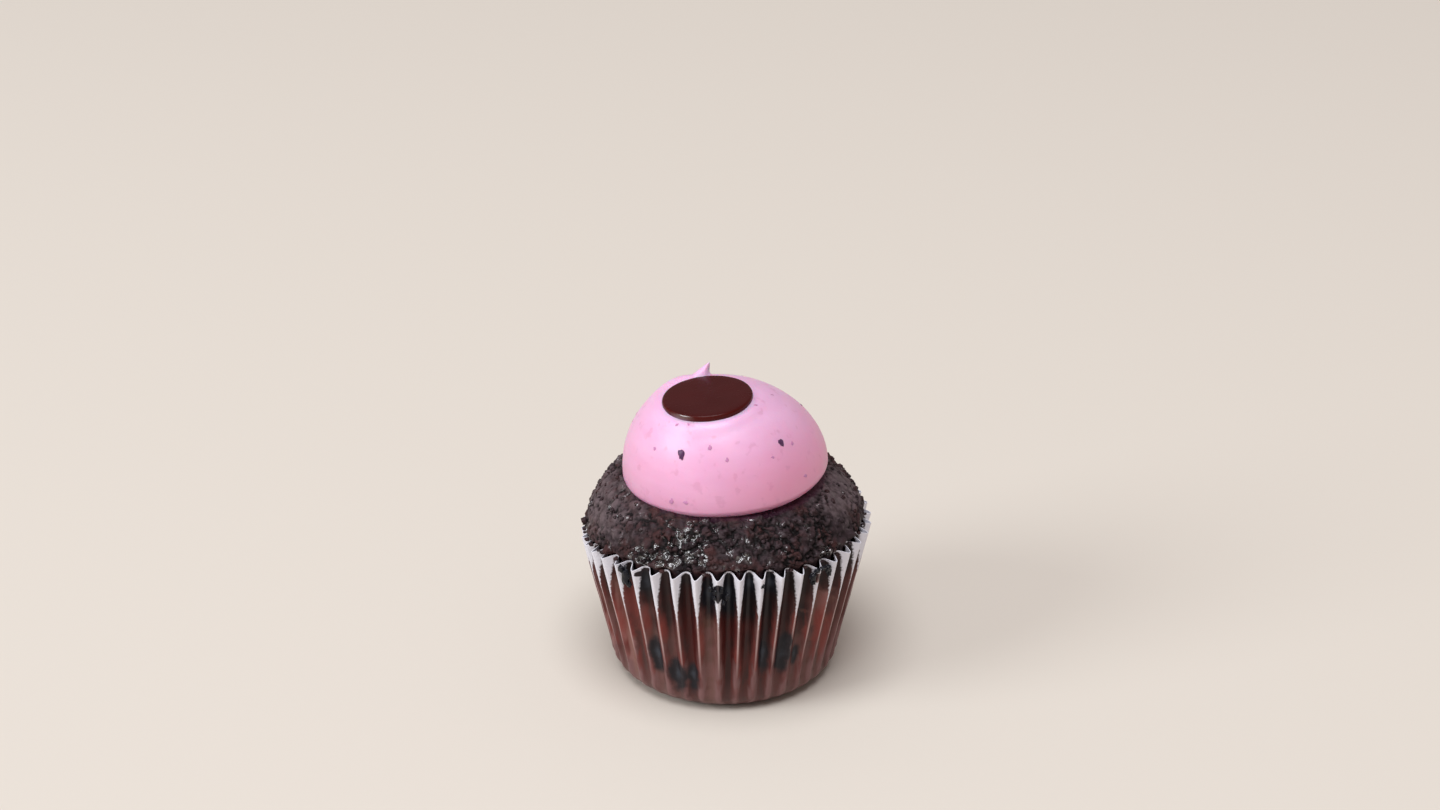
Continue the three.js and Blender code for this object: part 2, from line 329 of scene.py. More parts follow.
def case_corner(share, ring):
    """A corner of the paper, at a share of a turn and a ring counted up from the flat bottom."""
    height = case_height(share, ring)
    if ring > HEEL_RINGS:
        radius = pleated_radius(share, height, 1)
    else:
        reach = (cone_radius(HEEL_HEIGHT) - FLAT_RADIUS) * math.sin(ring / HEEL_RINGS * math.pi / 2)
        radius = FLAT_RADIUS + reach - pleat_depth(share, height) * (1 - crest(share))
    spot = around(drift(share), radius, height)
    cockle = 0.5 + 0.5 * noise.noise(spot / COCKLE_SIZE)
    return around(drift(share), radius - COCKLE * cockle * min(1, ring / HEEL_RINGS), height)


case = raise_rings("case_paper", PLEATS * CASE_STEPS, FLAT_RADIUS, HEEL_RINGS + SIDE_RINGS)
face_outwards()
case_places = []


def press_case(corner):
    """Presses one corner into its pleat, and remembers where on the paper it is."""
    share = share_of(corner)
    ring = round(corner.z)
    case_places.append((share, ring))
    if is_middle(corner):
        return Vector((0, 0, 0))
    return case_corner(share, ring)


knead(case, press_case)

# %% [markdown]
# Where the paper touches the cake it soaks up fat and turns dark, and where a crest stands clear
# of the cake it stays dry and white. So each crest is white at the rim, in a wedge that narrows
# downwards to a thin line, and a thin band along the cut edge is white too. Berries that burst
# behind the paper leave dark, soft stains, and those that burst at the rim have run over the white
# as well. Elsewhere the juice glows a bright red, and fat alone has left patches of the paper pale;
# on the lit left side those pale patches are painted light as well. All of
# these are kept as numbers that pass zero at an edge, where the material cuts them off.

# %% Note the dry crests, the stains and the runs
WEDGE_AT_RIM = 0.62
WEDGE_BOTTOM = 24.5
WEDGE_UNEVENNESS = 0.1
WEDGE_HOLLOW = 1.25
# The wedges are wider round this angle, over this many degrees, by this much
WIDE_WEDGES = (-66, 24, 0.3)
DRY_EDGE = 0.42
DRY_EDGE_SOFTNESS = 2.5
# Each by the angle and the height of its middle, half its width in degrees and half its height
STAINS = [
    (-33, 14.2, 3.8, 5.0), (-23, 10, 5.2, 4.8), (-15, 10, 3.0, 5.0),
    (27.5, 16, 4.4, 6.0), (18, 16, 2.8, 6.0), (35, 13.5, 1.8, 3.4),
    (-6.5, 34, 4.2, 5.2), (-2.4, 35.6, 3.2, 3.4), (1.5, 34, 3.6, 5.6),
    (-34, 34.5, 2.6, 4.2), (10, 36.5, 3.4, 3.4), (19, 36, 3.0, 3.6),
    (42, 36.5, 3.2, 3.2), (-66, 33, 2.4, 6.5), (78, 16, 4.5, 5.5),
    (104, 27, 4.0, 5.0), (131, 11, 5.5, 4.5), (160, 30, 4.6, 6.0),
    (-172, 13, 5.0, 5.2), (-141, 22, 4.0, 5.6), (-112, 12, 5.4, 4.6),
]
# The other three lists are written in the same way
# The first two patches, on the lit left side, are painted light as well as pale paper
PALE_AND_LIT_PATCHES = [
    (-51, 19, 7, 16), (-72, 14, 9, 10), (46, 25, 10, 9),
    (-122, 19, 16, 13), (96, 9, 14, 9), (148, 20, 17, 12),
]
RED_PATCHES = [
    (-43.5, 27, 3.0, 8.5), (-40.5, 18, 2.0, 8.0), (-54, 20, 2.2, 9.0),
    (-35.5, 24, 1.6, 6.0), (-27, 23, 1.8, 5.5), (-10, 21, 1.8, 5.5),
    (31, 23, 2.4, 6.0), (46, 22, 2.6, 8.0), (54, 15, 2.4, 8.0),
    (88, 22, 2.6, 7.0), (123, 25, 2.2, 8.0), (155, 16, 2.6, 7.0),
    (-160, 22, 2.4, 8.0), (-125, 24, 2.6, 7.0), (-95, 18, 2.4, 8.0),
]
RUNS = [
    (-2.4, 35.6, 2.4, 2.5), (-33.5, 36.8, 3.0, 1.0), (38.5, 35.6, 1.7, 1.4),
    (118, 36, 2.4, 2.6), (171, 36.5, 2.8, 2.2), (-127, 35.8, 2.6, 2.8),
]
PAPER_PATCHES = {"stain": STAINS, "pale": PALE_AND_LIT_PATCHES, "red": RED_PATCHES, "run": RUNS}
# How pale the paper is in the flutes at the front, which are counted from the middle to the right
FLUTE_TONES = {
    -8: 0.6, -7: 0.5, -6: 1.0, -5: 0.25, -4: 0.6, -3: 0.4, -2: 0.0, -1: 0.85, 0: 0.0, 1: 0.1,
    2: 0.1, 3: 0.25, 4: 0.45, 5: 0.5, 6: 0.55, 7: 0.25, 8: 0.3,
}
rim_chance = random.Random(7)
wedge_shift = [rim_chance.uniform(-1, 1) * WEDGE_UNEVENNESS for _ in range(PLEATS)]
other_tones = [rim_chance.uniform(0, 1) for _ in range(PLEATS)]


def degrees_past(angle, share):
    """How far a share of a turn lies past an angle, from -180 to 180 degrees."""
    return (share * 360 - angle + 180) % 360 - 180


def depth_in(patches, share, height, outside):
    """From 1 in the middle of a patch to 0 at its edge, and on down to the number outside."""
    deepest = outside
    for angle, middle, half_width, half_height in patches:
        across = degrees_past(angle, share) / half_width
        along = (height - middle) / half_height
        deepest = max(deepest, 1 - math.hypot(across, along))
    return deepest


def flute_tone(share):
    """How pale the paper is: a number of its own for each flute, from 0 to 1."""
    flute = math.floor(share * PLEATS)
    flute = (flute + PLEATS // 2) % PLEATS - PLEATS // 2
    return FLUTE_TONES.get(flute, other_tones[flute])


def fold(share):
    """0 on a crest and 1 at the bottom of a flute, evenly in between."""
    return abs((share * PLEATS + 0.5) % 1 - 0.5) * 2


def dryness(share, height):
    """Over 0 in the white wedge of a crest and along the edge, and under 0 where it is soaked."""
    rise = min(1, max(-1, (height - WEDGE_BOTTOM) / (RIM_HEIGHT - WEDGE_BOTTOM)))
    reach = WEDGE_AT_RIM + wedge_shift[round(share * PLEATS) % PLEATS]
    middle, half_width, extra = WIDE_WEDGES
    reach += extra * math.exp(-degrees_past(middle, share) ** 2 / half_width ** 2)
    wedge = reach * math.copysign(abs(rise) ** WEDGE_HOLLOW, rise) - fold(share)
    edge = (DRY_EDGE - (paper_top(share) - height)) / DRY_EDGE_SOFTNESS
    return max(wedge, edge)


on_paper = [(share, case_height(share, ring)) for share, ring in case_places]
paint(case, "fold", [fold(share) for share, _ in on_paper])
paint(case, "tone", [flute_tone(share) for share, _ in on_paper])
paint(case, "dry", [dryness(share, height) for share, height in on_paper])
for name, patches in PAPER_PATCHES.items():
    paint(case, name, [depth_in(patches, drift(share), height, -1) for share, height in on_paper])
print(f"{len(STAINS)} stains, {len(RED_PATCHES)} red patches and {len(RUNS)} runs on the paper")
finish_with(case, "SOLIDIFY", thickness=PAPER_THICKNESS * MM, offset=-1)
smooth(case, 60)

# %% [markdown]
# The material is greaseproof paper. Dry, it is a cool matt white. Soaked, it turns into a window
# on the crumb behind it. The crests stand off the crumb, so they are a pale, pinkish mauve, and
# the flutes press on it, so they are dark red, and nearly black towards the rim. Fat gives it all
# a low gloss. The stains are almost black, with a painted grey highlight in the middle. The thin
# pale line on each crest is partly dry paper and partly a painted highlight on the fold, and the
# paper on the lit left is painted paler.

# %% Greaseproof paper
RED_STREAKS = 0.85
RED_AT_FOOT = 0.15


def greaseproof_paper():
    paper = new_material("greaseproof_paper")
    spot = add(paper, "TexCoord").outputs["Object"]
    height = add(paper, "SeparateXYZ", {0: spot}).outputs["Z"]
    crease, tone, dry, stain, pale, red, run = [
        add(paper, "Attribute", attribute_name=name).outputs["Fac"]
        for name in ("fold", "tone", "dry", "stain", "pale", "red", "run")]
    fibre, blotch, broad = [
        add(paper, "TexNoise", {"Vector": spot, "Scale": per(size), "Detail": detail})
        for size, detail in [(0.6, 4), (3.5, 4), (11, 2)]]
    upright = add(paper, "Mapping", {"Vector": spot, "Scale": (1, 1, 0.14)})
    streak = add(paper, "TexNoise", {"Vector": upright, "Scale": per(1.7), "Detail": 2})
    uneven_height = push(paper, height, (broad, 0.3, 0.7, -0.007, 0.007))
    # The pale patches, which on the lit left side are painted light as well
    pale = push(paper, pale, (blotch, 0.3, 0.7, -0.3, 0.3))

    # The flutes: dark red, mauve low down in the pale ones, and nearly black towards the rim
    flute = lay_coats(paper, "#461613", (streak, 0.45, 0.6, 1, "#371b19"))
    mauve = lay_coats(paper, "#7d5855", (blotch, 0.4, 0.65, 1, "#6b4e46"))
    rim_strength = add(paper, "MapRange", {
        "Value": tone, "From Min": 0.2, "From Max": 1, "To Min": 1, "To Max": 0.25})
    flute = lay_coats(
        paper, flute,
        (uneven_height, 0.029, 0.021, tone, mauve),
        (height, 0.01, 0.002, 0.35, "#7b5b59"),
        (uneven_height, 0.022, 0.032, rim_strength, "#231a1b"),
        (pale, 0.1, 0.5, 0.5, "#94665c"))

    # The crests, and how far the flute's colour comes up their slopes
    ridge = lay_coats(
        paper, "#7d5a5a",
        (height, 0.008, 0.02, 1, "#683c3a"),
        (pale, 0.05, 0.45, 0.6, "#9c6f6b"))
    slope = push(
        paper, crease,
        (streak, 0.35, 0.65, -0.2, 0.2),
        (height, 0.009, 0.018, 0, 0.26),
        (pale, 0.1, 0.5, 0, -0.25))

    # Red streaks on the slopes, which fade at the rim and at the foot
    red_streak = lay_coats(paper, "#541513", (broad, 0.45, 0.6, 1, "#7c322d"))
    red_strength = add(paper, "MapRange", {
        "Value": height, "From Min": 0.005, "From Max": 0.013,
        "To Min": RED_STREAKS * RED_AT_FOOT, "To Max": RED_STREAKS})
    for mask, begin, full in [(height, 0.034, 0.027), (slope, 0.95, 0.6)]:
        red_strength = add(paper, "MapRange", {
            "Value": mask, "From Min": begin, "From Max": full, "To Max": red_strength})

    # The bright patches, the thin pale line on each crest, which is partly dry paper and partly a
    # painted highlight, and the stains with a painted grey highlight in the middle
    glow = push(paper, red, (blotch, 0.3, 0.7, -0.25, 0.25))
    crest_line_and_highlight = add(paper, "MapRange", {
        "Value": height, "From Min": 0.01, "From Max": 0.02, "To Max": 0.75})
    stain = push(paper, stain, (blotch, 0.3, 0.7, -0.3, 0.3))
    soaked = lay_coats(
        paper, ridge,
        (slope, 0.12, 0.6, 1, flute),
        (streak, 0.46, 0.6, red_strength, red_streak),
        (glow, 0, 0.7, 0.65, "#863a33"),
        (crease, 0.14, 0.05, crest_line_and_highlight, "#c6aba9"),
        (stain, -0.2, 0.35, 0.95, "#191a21"),
        (stain, 0.55, 1.0, 0.5, "#454c57"))

    # The dry, white paper, where nothing has run over it
    white = add(paper, "MixRGB", {"Fac": fibre, "Color1": "#e0dfe8", "Color2": "#eeedf6"})
    run = push(paper, run, (blotch, 0.3, 0.7, -0.2, 0.2))
    clean = add(paper, "MapRange", {"Value": run, "From Min": 0.08, "From Max": 0})
    dry = push(paper, dry, (fibre, 0.3, 0.7, -0.05, 0.05))
    dry = add(paper, "MapRange", {
        "Value": dry, "From Min": -0.03, "From Max": 0.06, "To Max": clean})
    colour = add(paper, "MixRGB", {"Fac": dry, "Color1": soaked, "Color2": white})
    roughness = add(paper, "MapRange", {"Value": dry, "To Min": 0.4, "To Max": 0.75})
    bump = add(paper, "Bump", {"Height": fibre, "Strength": 0.25, "Distance": 0.05 * MM})
    surface = add(paper, "BsdfPrincipled", {
        "Base Color": colour, "Roughness": roughness, "Normal": bump, "IOR": 1.45,
        "Specular IOR Level": 0.25})
    add(paper, "OutputMaterial", {"Surface": surface})
    return paper


hand_over(case, greaseproof_paper(), "paper_case", "paper_case")

# %% [markdown]
# The cake is a soft chocolate crumb. Inside the case it fills the flutes, because the batter ran
# into them, and leaves the crests more and more empty towards the rim. Above the rim it has spread
# over the paper and set in a broad dome. It is raised from a circle in the same way as the case,
# so that both share one set of pleats, and the open dome gets rings a sixth of a millimetre
# apart, which is fine enough to carry its grain as true relief.

# %% Raise the cake
DOME_RADIUS = 32.1
DOME_BASE = 39.35
DOME_RISE = 12.2
DOME_POWER = 2.25
FROSTED_RADIUS = 22.3
CREST_FILL_AT_RIM = 0.25
CRUMB_INSET = 0.3
CRUMB_OVER_RIM = 0.45
FOOT_HEIGHT = PAPER_THICKNESS + 0.1
OVERHANG_HEIGHT = 1.35
OVERHANG_CLIMB = 5
RING_CROWDING = 1.6
CASE_LEVELS = 10
DOME_RINGS = 80
COVERED_RINGS = 3


def dome_height(radius):
    share = min(1, radius / DOME_RADIUS)
    return DOME_BASE + DOME_RISE * (1 - share ** DOME_POWER) ** (1 / DOME_POWER)


def crumb_in_case(share, rise):
    """The crumb behind the paper, from 0 at the heel to 1 just over the rim."""
    height = blend(HEEL_HEIGHT, rim_height(share) + CRUMB_OVER_RIM, rise)
    fill = blend(1, CREST_FILL_AT_RIM, rise)
    return around(drift(share), pleated_radius(share, height, fill) - CRUMB_INSET, height)


def crumb_on_dome(share, climb):
    """The open dome, from 0 at its overhang to 1 under the edge of the frosting."""
    radius = blend(DOME_RADIUS, FROSTED_RADIUS, climb ** RING_CROWDING)
    overhang = rim_height(share) + OVERHANG_HEIGHT + OVERHANG_CLIMB * climb
    height = blend(dome_height(radius), overhang, (1 - climb) ** 2)
    return around(drift(share), radius, height)


def raise_crumb(corner):
    """Where each ring of the cake goes: the foot, the case, the open dome, the covered top."""
    share = share_of(corner)
    ring = round(corner.z)
    if is_middle(corner):
        return Vector((0, 0, FOOT_HEIGHT))
    if ring == 0:
        return around(drift(share), FLAT_RADIUS, FOOT_HEIGHT)
    if ring <= CASE_LEVELS:
        return crumb_in_case(share, (ring - 1) / (CASE_LEVELS - 1))
    if ring <= CASE_LEVELS + DOME_RINGS:
        return crumb_on_dome(share, (ring - CASE_LEVELS - 1) / (DOME_RINGS - 1))
    covered = (ring - CASE_LEVELS - DOME_RINGS) / (COVERED_RINGS + 1)
    radius = FROSTED_RADIUS * (1 - covered)
    return around(share, radius, dome_height(radius))


cake = raise_rings(
    "cake_crumb", PLEATS * CASE_STEPS, FLAT_RADIUS, CASE_LEVELS + DOME_RINGS + COVERED_RINGS)
bpy.ops.mesh.edge_face_add()
face_outwards()
knead(cake, raise_crumb)

# %% [markdown]
# Two things change over the crust of a real cake. Where berry juice has soaked through, the crumb
# is wet: almost black, with sharp white glints. Where the crust baked dry it is a matt, greyish
# brown, and on the left and right of the dome this pale grey is also painted light and sheen. Both
# are patches by angle and by height over the rim. They steer the relief as well as the colour,
# through two vertex groups, which also keep it off what the paper and the frosting hide.

# %% Place the wet and the dry patches of the crust
# Each by its angle, its height over the rim, half its width in degrees and half its height
WET_PATCHES = [
    (-20, 4.4, 15, 5.0), (-36, 2.2, 8, 2.6), (8, 3.4, 4, 1.8),
    (46, 1.5, 6, 1.6), (112, 3, 12, 3.6), (149, 5, 10, 3.2),
    (-165, 2.5, 14, 3.4), (-121, 4, 12, 4.0), (-84, 1.8, 7, 2.0),
]
# Dry crust; the two patches at the left and right sides are also painted light and sheen
CRUST_AND_SHEEN_PATCHES = [
    (-80, 8.5, 46, 8.0), (80, 8.5, 36, 7.0), (165, 6, 38, 6.5),
    (-130, 8, 24, 5.0),
]
CALMEST = 0.35
CALM_PATCH_SIZE = 6
CRUST_CALM = 0.3
DRY_GRAIN = 0.25


def on_crust(patches, point):
    """1 in the middle of a patch, and 0 at its edge and outside."""
    share = share_of(point)
    return depth_in(patches, share, point.z - rim_height(share), 0)


open_crumb = cake.vertex_groups.new(name="open_crumb")
wet_crumb = cake.vertex_groups.new(name="wet_crumb")
plain_places = [corner.co / MM for corner in cake.data.vertices]
for number, point in enumerate(plain_places):
    over_rim = soft_step(point.z - rim_height(share_of(point)), -0.5, 2)
    uncovered = soft_step(point.xy.length, FROSTED_RADIUS - 1, FROSTED_RADIUS + 1)
    rough = blend(CALMEST, 1, soft_step(noise.noise(point / CALM_PATCH_SIZE), -0.3, 0.25))
    rough *= 1 - CRUST_CALM * soft_step(on_crust(CRUST_AND_SHEEN_PATCHES, point), 0, 0.5)
    open_share = over_rim * uncovered * rough
    open_crumb.add([number], open_share, "REPLACE")
    wet_share = blend(DRY_GRAIN, 1, soft_step(on_crust(WET_PATCHES, point), 0, 0.4))
    wet_crumb.add([number], open_share * wet_share, "REPLACE")
print(f"{len(WET_PATCHES)} wet and {len(CRUST_AND_SHEEN_PATCHES)} dry patches on the crust")

# %% [markdown]
# A crumb is a foam of burst bubbles between small lumps. Three displacements give it that, each
# with features less than half as large as the one before: the slow swell of the crust, the lumps
# of crumb, and the pits between them. A fourth breaks the wet patches into sharp grains. How far
# each corner was raised is kept, because the material paints the hollows darker than the lumps,
# as painted shade.

# %% Break up the crumb
# Each by the size of its features and by its height
SWELL = (6.5, 1.3)
LUMPS = (2.6, 3.2)
PITS = (1.1, 0.9)
GRAINS = (1.6, 2.6)
LUMPY = {"weight_1": -1, "weight_2": 1, "middle": 0.12}
PITTED = {"noise_type": "HARD_NOISE", "noise_depth": 1, "middle": 0.4}
CORE = Vector((0, 0, 25))
# One corner in this many is left out at each end, when the lowest and the highest are found
OUTLIERS = 20


def relief(piece, kind, size, height, group="", middle=0.5, **settings):
    """Displaces a piece by a pattern of this size and height, both in millimetres."""
    pattern = bpy.data.textures.new(f"{piece.name}_{size}", kind)
    pattern.noise_scale = size * MM
    for key, value in settings.items():
        setattr(pattern, key, value)
    finish_with(
        piece, "DISPLACE", texture=pattern, texture_coords="LOCAL", strength=height * MM,
        mid_level=middle, vertex_group=group)


relief(cake, "CLOUDS", *SWELL, "open_crumb")
flat_places = [corner.co / MM for corner in cake.data.vertices]
relief(cake, "VORONOI", *LUMPS, "open_crumb", **LUMPY)
relief(cake, "CLOUDS", *PITS, "open_crumb", **PITTED)
relief(cake, "VORONOI", *GRAINS, "wet_crumb", **LUMPY)
smooth(cake)

rough_places = [corner.co / MM for corner in cake.data.vertices]
raised = [(new - old).dot((old - CORE).normalized()) for new, old in zip(rough_places, flat_places)]
on_top = sorted(value for value, old in zip(raised, plain_places) if old.z > RIM_HEIGHT + 2)
outliers = len(on_top) // OUTLIERS
lowest = on_top[outliers]
highest = on_top[-outliers - 1]
print(f"the crumb is raised by {lowest:.2f} to {highest:.2f} mm")
paint(cake, "raised", [(value - lowest) / (highest - lowest) for value in raised])
paint(cake, "wet", [on_crust(WET_PATCHES, point) for point in flat_places])
paint(cake, "crust", [on_crust(CRUST_AND_SHEEN_PATCHES, point) for point in flat_places])

# %% [markdown]
# Dark chocolate crumb is a deep reddish brown on its lumps, and its hollows are painted almost
# black, as painted shade. Where the crust baked dry it is paler and greyer, and on the left and
# right of the dome that pale grey is painted light and sheen as well. Where it is wet, small beads
# of it have a hard, clear gloss, which is a coat over the crumb. Next to the frosting the crumb has
# drawn in a little of its pink, which shows as a purple line.

# %% Chocolate crumb
def chocolate_crumb():
    crumb = new_material("chocolate_crumb")
    spot = add(crumb, "TexCoord").outputs["Object"]
    raised, wet, crust = [
        add(crumb, "Attribute", attribute_name=name).outputs["Fac"]
        for name in ("raised", "wet", "crust")]
    fine, grain, bead, speck, patch = [
        add(crumb, "TexNoise", {"Vector": spot, "Scale": per(size), "Detail": detail})
        for size, detail in [(0.6, 2), (1.3, 4), (1.9, 1), (2.2, 4), (6, 3)]]
    raised = push(crumb, raised, (grain, 0.3, 0.7, -0.25, 0.25))
    crust = push(crumb, crust, (speck, 0.3, 0.7, -0.35, 0.35))
    wet = push(crumb, wet, (speck, 0.3, 0.7, -0.35, 0.35))
    flat = add(crumb, "VectorMath", {0: spot, 1: (1, 1, 0)}, operation="MULTIPLY")
    from_middle = add(crumb, "VectorMath", {0: flat}, operation="LENGTH").outputs["Value"]

    brown = lay_coats(crumb, "#392d31", (patch, 0.44, 0.6, 1, "#432929"))
    # Pale grey crust, with paler lumps; on the left and right sides of the dome it is painted light
    # and sheen as well
    grey = lay_coats(crumb, "#2f2527", (raised, 0, 0.7, 1, "#685a5d"))
    # Painted shade: the hollows are almost black and the raised lumps a reddish brown, by how far each
    # corner was raised
    colour = lay_coats(
        crumb, "#1b1213",
        (raised, 0.1, 0.75, 1, brown),
        (crust, 0.1, 0.6, 0.85, grey),
        (wet, 0.12, 0.4, 0.6, "#130d10"),
        (raised, 0.14, 0, 0.75, "#060304"),
        (from_middle, 0.0235, 0.0226, 0.4, "#5a2a48"))

    soaked = add(crumb, "MapRange", {"Value": wet, "From Min": 0.12, "From Max": 0.4})
    beads = add(crumb, "MapRange", {
        "Value": bead, "From Min": 0.47, "From Max": 0.56, "To Max": soaked})
    bump = add(crumb, "Bump", {"Height": fine, "Strength": 0.35, "Distance": 0.2 * MM})
    bump = add(crumb, "Bump", {
        "Height": grain, "Strength": 0.6, "Distance": 0.5 * MM, "Normal": bump})
    surface = add(crumb, "BsdfPrincipled", {
        "Base Color": colour, "Roughness": 0.6, "Normal": bump, "IOR": 1.45,
        "Specular IOR Level": 0.2, "Coat Weight": beads, "Coat Roughness": 0.1, "Coat IOR": 2.3,
        "Coat Normal": bump})
    add(crumb, "OutputMaterial", {"Surface": surface})
    return crumb


crumb_finish = chocolate_crumb()
hand_over(cake, crumb_finish, "cake", "cake")

# %% [markdown]
# The buttercream was piped as one ball and pressed flat on top by the disc. A sphere is the
# nearest primitive. Each of its corners goes to a superellipse that leans to the left and
# forwards, bends to the level of the disc's top, dips under the disc, and comes to rest just
# inside the cake.

# %% Shape the buttercream
FROSTING_CENTRE = Vector((0.13, 0, 50.82))
FROSTING_RADIUS = 23.46
FROSTING_RISE = 22.2
FROSTING_TUCK = 5.9
FROSTING_POWER = 1.89
FROSTING_ROLL = -0.075
FROSTING_LEAN = Vector((-3.14, -4, 0))
DISC_TOP = Vector((-3.9, -4.8, 70.3))
DISC_RADIUS = 10.25
DISC_THICKNESS = 1.75
DISC_EDGE = 0.6
DISC_TURN = Matrix.Rotation(math.radians(1.2), 3, "X") @ Matrix.Rotation(math.radians(-5), 3, "Y")
SEAT_LIP = 0.9
SEAT_SOFTNESS = 2.2
BED_DEPTH = -1.4
BED_REACH = 3.0
UNDER_DISC = -1.0
RIDGE_CENTRE = Vector((-11.5, 6.2))
RIDGE_SIZE = Vector((6, 3.4))
RIDGE_HEIGHT = 1.45
UNDERSIDE = 0.5
FROSTING_SIDES = 224


def seated(point):
    """Bends the frosting to the disc that was pressed into it."""
    local = DISC_TURN.transposed() @ (point - DISC_TOP)
    away = local.xy.length - DISC_RADIUS
    local.z = 0.5 * (local.z + SEAT_LIP - math.hypot(local.z - SEAT_LIP, SEAT_SOFTNESS))
    if local.z < BED_DEPTH:
        local.z = blend(BED_DEPTH, local.z, soft_step(away, 0, BED_REACH))
    pressed = min(local.z, UNDER_DISC)
    local.z = blend(pressed, local.z, soft_step(away, -DISC_EDGE, 0.2))
    return DISC_TURN @ local + DISC_TOP


def frosting_point(share, level):
    """The outside of the frosting, whose level is 1 on top, 0 at its widest and -1 underneath."""
    above = max(0, level)
    width = (1 - above ** FROSTING_POWER) ** (1 / FROSTING_POWER) * math.sqrt(1 - min(0, level) ** 2)
    height = (FROSTING_RISE if level > 0 else FROSTING_TUCK) * level
    point = around(share, FROSTING_RADIUS * width, height) + FROSTING_LEAN * above ** 2
    point = Matrix.Rotation(FROSTING_ROLL, 3, "Y") @ point + FROSTING_CENTRE
    along = (point.x - RIDGE_CENTRE.x) / RIDGE_SIZE.x
    across = (point.y - RIDGE_CENTRE.y) / RIDGE_SIZE.y
    ridge = RIDGE_HEIGHT * above * math.exp(-along ** 2 - across ** 2)
    return seated(point) + Vector((0, 0, ridge))


def shape_buttercream(corner):
    level = max(-1, min(1, corner.z / FROSTING_RADIUS))
    point = frosting_point(share_of(corner), level)
    point.z = max(point.z, dome_height(point.xy.length) - UNDERSIDE)
    return point


start_fresh()
bpy.ops.mesh.primitive_uv_sphere_add(
    segments=FROSTING_SIDES, ring_count=FROSTING_SIDES // 2, radius=FROSTING_RADIUS * MM)
buttercream = bpy.context.object
buttercream.name = "buttercream"
knead(buttercream, shape_buttercream)

# %% [markdown]
# When the piping tube was drawn away, it pulled a small tail that has curled over to the right.
# The faces around its foot are subdivided first, because a drawn-out tip needs closer corners
# than the smooth dome. The corners are then lifted towards the tip, steeply near its middle. A
# very slow swell goes over it all at the end, because no ball of buttercream is quite even.

# %% Draw out the tail
TAIL_BASE = Vector((-5.1, 6.6))
TAIL_REACH = 2.3
TAIL_TOP = 73.3
TAIL_BEND = 1.8
TAIL_SHARPNESS = 1.35
CREAM_SWELL = (14, 0.3)

take_up(buttercream)
bpy.ops.object.mode_set(mode="EDIT")


def near_tail(face):
    middle = face.calc_center_median() / MM
    return middle.z > FROSTING_CENTRE.z and (middle.xy - TAIL_BASE).length < TAIL_REACH


pick("faces", near_tail)
bpy.ops.mesh.subdivide(number_cuts=3)
face_outwards()


def draw_tail(corner):
    closeness = max(0, 1 - (corner.xy - TAIL_BASE).length / TAIL_REACH)
    if corner.z < FROSTING_CENTRE.z or closeness == 0:
        return corner
    climb = closeness ** TAIL_SHARPNESS
    return corner + Vector((TAIL_BEND * climb ** 1.5, 0, (TAIL_TOP - corner.z) * climb))


knead(buttercream, draw_tail)
relief(buttercream, "CLOUDS", *CREAM_SWELL, noise_basis="IMPROVED_PERLIN", noise_depth=0)
smooth(buttercream)
tip = max(corner.co.z for corner in buttercream.data.vertices) / MM
print(f"the tip of the tail is {tip:.1f} mm up")

# %% [markdown]
# Buttercream is butter and sugar beaten together with berry juice. It is satin, and a little
# light enters it and comes out pinker, so its shaded side is a warmer pink than its lit side. Light
# and shade are also painted into its colour: its top is a paler lilac, as painted light from above,
# and the foot of the dome is a deeper pink, as painted shade, which is pinkest on the right.

# %% Berry buttercream
def berry_buttercream():
    cream = new_material("berry_buttercream")
    spot = add(cream, "TexCoord").outputs["Object"]
    axes = add(cream, "SeparateXYZ", {0: spot})
    flattened = add(cream, "Mapping", {"Vector": spot, "Scale": (0.5, 0.5, 1.6)})
    streak = add(cream, "TexNoise", {"Vector": flattened, "Scale": per(5), "Detail": 3})
    grain, swirl, smudge = [
        add(cream, "TexNoise", {"Vector": spot, "Scale": per(size), "Detail": detail})
        for size, detail in [(0.45, 3), (2.2, 2), (2.4, 2)]]
    # Painted light and shade: the upper colour is a paler lilac for the light from above, and the
    # lower one a deeper pink for shade
    low = lay_coats(cream, "#e7a4c7", (streak, 0.35, 0.65, 1, "#ebaacd"))
    high = lay_coats(cream, "#efb8dd", (streak, 0.35, 0.65, 1, "#f2bfe3"))
    # Painted shade: the lower right of the dome is a deeper pink
    painted_shade_low_right = add(cream, "MapRange", {
        "Value": axes.outputs["Z"], "From Min": 0.067, "From Max": 0.055})
    colour = lay_coats(
        cream, low,
        (axes.outputs["Z"], 0.051, 0.068, 1, high),
        (axes.outputs["X"], -0.004, 0.014, painted_shade_low_right, "#e79bbc"),
        (smudge, 0.62, 0.7, 0.3, "#cf86ab"))
    bump = add(cream, "Bump", {"Height": swirl, "Strength": 0.25, "Distance": 0.25 * MM})
    bump = add(cream, "Bump", {
        "Height": grain, "Strength": 0.2, "Distance": 0.06 * MM, "Normal": bump})
    surface = add(cream, "BsdfPrincipled", {
        "Base Color": colour, "Roughness": 0.43, "Normal": bump, "IOR": 1.46,
        "Specular IOR Level": 1, "Subsurface Weight": 0.5, "Subsurface Radius": (1, 0.3, 0.45),
        "Subsurface Scale": 1.5 * MM})
    add(cream, "OutputMaterial", {"Surface": surface})
    return cream


hand_over(buttercream, berry_buttercream(), "frosting", "frosting")

# %% [markdown]
# The disc was cut from a thin sheet of dark chocolate. A cylinder is laid in its place and tilt,
# its two rims are bevelled as the cutter rounds them, and its top is inset into rings, so that a
# very low relief can give it the slightly uneven shine of tempered chocolate.

# %% Cut the chocolate disc
DISC_RINGS = 6
DISC_SWELL = (5, 0.12)
SHARP_EDGE = math.radians(60)

